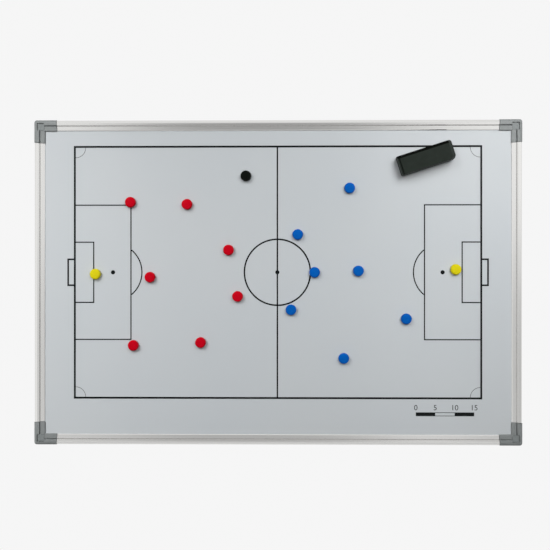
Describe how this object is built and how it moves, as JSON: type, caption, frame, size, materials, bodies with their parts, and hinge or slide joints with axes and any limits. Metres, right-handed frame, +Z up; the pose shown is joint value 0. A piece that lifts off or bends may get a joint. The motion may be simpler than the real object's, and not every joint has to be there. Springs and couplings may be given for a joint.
{
  "type": "magnetic whiteboard",
  "caption": "Framed magnetic writing board for team tactics, printed with a pitch, with round magnets and an eraser held on its face.",
  "frame": {"origin": "middle of the wall plane, behind the centre of the board", "axes": "+X along the board to the viewer's right, +Z up, +Y into the wall; the writing side faces -Y"},
  "size_m": [0.9, 0.0367, 0.6],
  "materials": {
    "coated_sheet": "glossy white coat",
    "core_board": "raw fibreboard",
    "zinc_sheet": "galvanised",
    "aluminium": "satin anodised",
    "grey_moulding": "fine moulded grain",
    "grey_cover": "fine moulded grain",
    "zinc_screw": "bright zinc",
    "ferrite": "ground",
    "red_cap": "glossy",
    "blue_cap": "glossy",
    "yellow_cap": "glossy",
    "black_cap": "glossy",
    "dark_housing": "satin moulded",
    "grey_felt": "pressed felt"
  },
  "bodies": {
    "board": {"writing_sheet": "coated_sheet", "panel_core": "core_board", "back_sheet": "zinc_sheet", "rail_top": "aluminium", "rail_bottom": "aluminium", "rail_left": "aluminium", "rail_right": "aluminium", "corner_bottom_left": "grey_moulding", "corner_top_left": "grey_moulding", "corner_top_right": "grey_moulding", "corner_bottom_right": "grey_moulding", "screw_bottom_left_a": "zinc_screw", "screw_bottom_left_b": "zinc_screw", "screw_top_left_a": "zinc_screw", "screw_top_left_b": "zinc_screw", "screw_top_right_a": "zinc_screw", "screw_top_right_b": "zinc_screw", "screw_bottom_right_a": "zinc_screw", "screw_bottom_right_b": "zinc_screw"},
    "magnet_red_1": {"magnet_red_1_cap": "red_cap", "magnet_red_1_disc": "ferrite"},
    "magnet_red_2": {"magnet_red_2_cap": "red_cap", "magnet_red_2_disc": "ferrite"},
    "magnet_red_3": {"magnet_red_3_cap": "red_cap", "magnet_red_3_disc": "ferrite"},
    "magnet_red_4": {"magnet_red_4_cap": "red_cap", "magnet_red_4_disc": "ferrite"},
    "magnet_red_5": {"magnet_red_5_cap": "red_cap", "magnet_red_5_disc": "ferrite"},
    "magnet_red_6": {"magnet_red_6_cap": "red_cap", "magnet_red_6_disc": "ferrite"},
    "magnet_red_7": {"magnet_red_7_cap": "red_cap", "magnet_red_7_disc": "ferrite"},
    "magnet_blue_1": {"magnet_blue_1_cap": "blue_cap", "magnet_blue_1_disc": "ferrite"},
    "magnet_blue_2": {"magnet_blue_2_cap": "blue_cap", "magnet_blue_2_disc": "ferrite"},
    "magnet_blue_3": {"magnet_blue_3_cap": "blue_cap", "magnet_blue_3_disc": "ferrite"},
    "magnet_blue_4": {"magnet_blue_4_cap": "blue_cap", "magnet_blue_4_disc": "ferrite"},
    "magnet_blue_5": {"magnet_blue_5_cap": "blue_cap", "magnet_blue_5_disc": "ferrite"},
    "magnet_blue_6": {"magnet_blue_6_cap": "blue_cap", "magnet_blue_6_disc": "ferrite"},
    "magnet_blue_7": {"magnet_blue_7_cap": "blue_cap", "magnet_blue_7_disc": "ferrite"},
    "magnet_yellow_1": {"magnet_yellow_1_cap": "yellow_cap", "magnet_yellow_1_disc": "ferrite"},
    "magnet_yellow_2": {"magnet_yellow_2_cap": "yellow_cap", "magnet_yellow_2_disc": "ferrite"},
    "magnet_black_1": {"magnet_black_1_cap": "black_cap", "magnet_black_1_disc": "ferrite"},
    "eraser": {"eraser_housing": "dark_housing", "eraser_felt": "grey_felt", "eraser_magnet": "ferrite"},
    "cover_bottom_left": {"screw_cover_bottom_left": "grey_cover"},
    "cover_top_left": {"screw_cover_top_left": "grey_cover"},
    "cover_top_right": {"screw_cover_top_right": "grey_cover"},
    "cover_bottom_right": {"screw_cover_bottom_right": "grey_cover"}
  },
  "joints": [
    {"name": "magnet_red_1_lift", "type": "slide", "parent": "board", "child": "magnet_red_1", "axis": [0, -1, 0], "range_m": [0, 0.04]},
    {"name": "magnet_red_2_lift", "type": "slide", "parent": "board", "child": "magnet_red_2", "axis": [0, -1, 0], "range_m": [0, 0.04]},
    {"name": "magnet_red_3_lift", "type": "slide", "parent": "board", "child": "magnet_red_3", "axis": [0, -1, 0], "range_m": [0, 0.04]},
    {"name": "magnet_red_4_lift", "type": "slide", "parent": "board", "child": "magnet_red_4", "axis": [0, -1, 0], "range_m": [0, 0.04]},
    {"name": "magnet_red_5_lift", "type": "slide", "parent": "board", "child": "magnet_red_5", "axis": [0, -1, 0], "range_m": [0, 0.04]},
    {"name": "magnet_red_6_lift", "type": "slide", "parent": "board", "child": "magnet_red_6", "axis": [0, -1, 0], "range_m": [0, 0.04]},
    {"name": "magnet_red_7_lift", "type": "slide", "parent": "board", "child": "magnet_red_7", "axis": [0, -1, 0], "range_m": [0, 0.04]},
    {"name": "magnet_blue_1_lift", "type": "slide", "parent": "board", "child": "magnet_blue_1", "axis": [0, -1, 0], "range_m": [0, 0.04]},
    {"name": "magnet_blue_2_lift", "type": "slide", "parent": "board", "child": "magnet_blue_2", "axis": [0, -1, 0], "range_m": [0, 0.04]},
    {"name": "magnet_blue_3_lift", "type": "slide", "parent": "board", "child": "magnet_blue_3", "axis": [0, -1, 0], "range_m": [0, 0.04]},
    {"name": "magnet_blue_4_lift", "type": "slide", "parent": "board", "child": "magnet_blue_4", "axis": [0, -1, 0], "range_m": [0, 0.04]},
    {"name": "magnet_blue_5_lift", "type": "slide", "parent": "board", "child": "magnet_blue_5", "axis": [0, -1, 0], "range_m": [0, 0.04]},
    {"name": "magnet_blue_6_lift", "type": "slide", "parent": "board", "child": "magnet_blue_6", "axis": [0, -1, 0], "range_m": [0, 0.04]},
    {"name": "magnet_blue_7_lift", "type": "slide", "parent": "board", "child": "magnet_blue_7", "axis": [0, -1, 0], "range_m": [0, 0.04]},
    {"name": "magnet_yellow_1_lift", "type": "slide", "parent": "board", "child": "magnet_yellow_1", "axis": [0, -1, 0], "range_m": [0, 0.04]},
    {"name": "magnet_yellow_2_lift", "type": "slide", "parent": "board", "child": "magnet_yellow_2", "axis": [0, -1, 0], "range_m": [0, 0.04]},
    {"name": "magnet_black_1_lift", "type": "slide", "parent": "board", "child": "magnet_black_1", "axis": [0, -1, 0], "range_m": [0, 0.04]},
    {"name": "eraser_lift", "type": "slide", "parent": "board", "child": "eraser", "axis": [0, -1, 0], "range_m": [0, 0.05]},
    {"name": "cover_bottom_left_pull", "type": "slide", "parent": "board", "child": "cover_bottom_left", "axis": [0, -1, 0], "range_m": [0, 0.025]},
    {"name": "cover_top_left_pull", "type": "slide", "parent": "board", "child": "cover_top_left", "axis": [0, -1, 0], "range_m": [0, 0.025]},
    {"name": "cover_top_right_pull", "type": "slide", "parent": "board", "child": "cover_top_right", "axis": [0, -1, 0], "range_m": [0, 0.025]},
    {"name": "cover_bottom_right_pull", "type": "slide", "parent": "board", "child": "cover_bottom_right", "axis": [0, -1, 0], "range_m": [0, 0.025]}
  ]
}
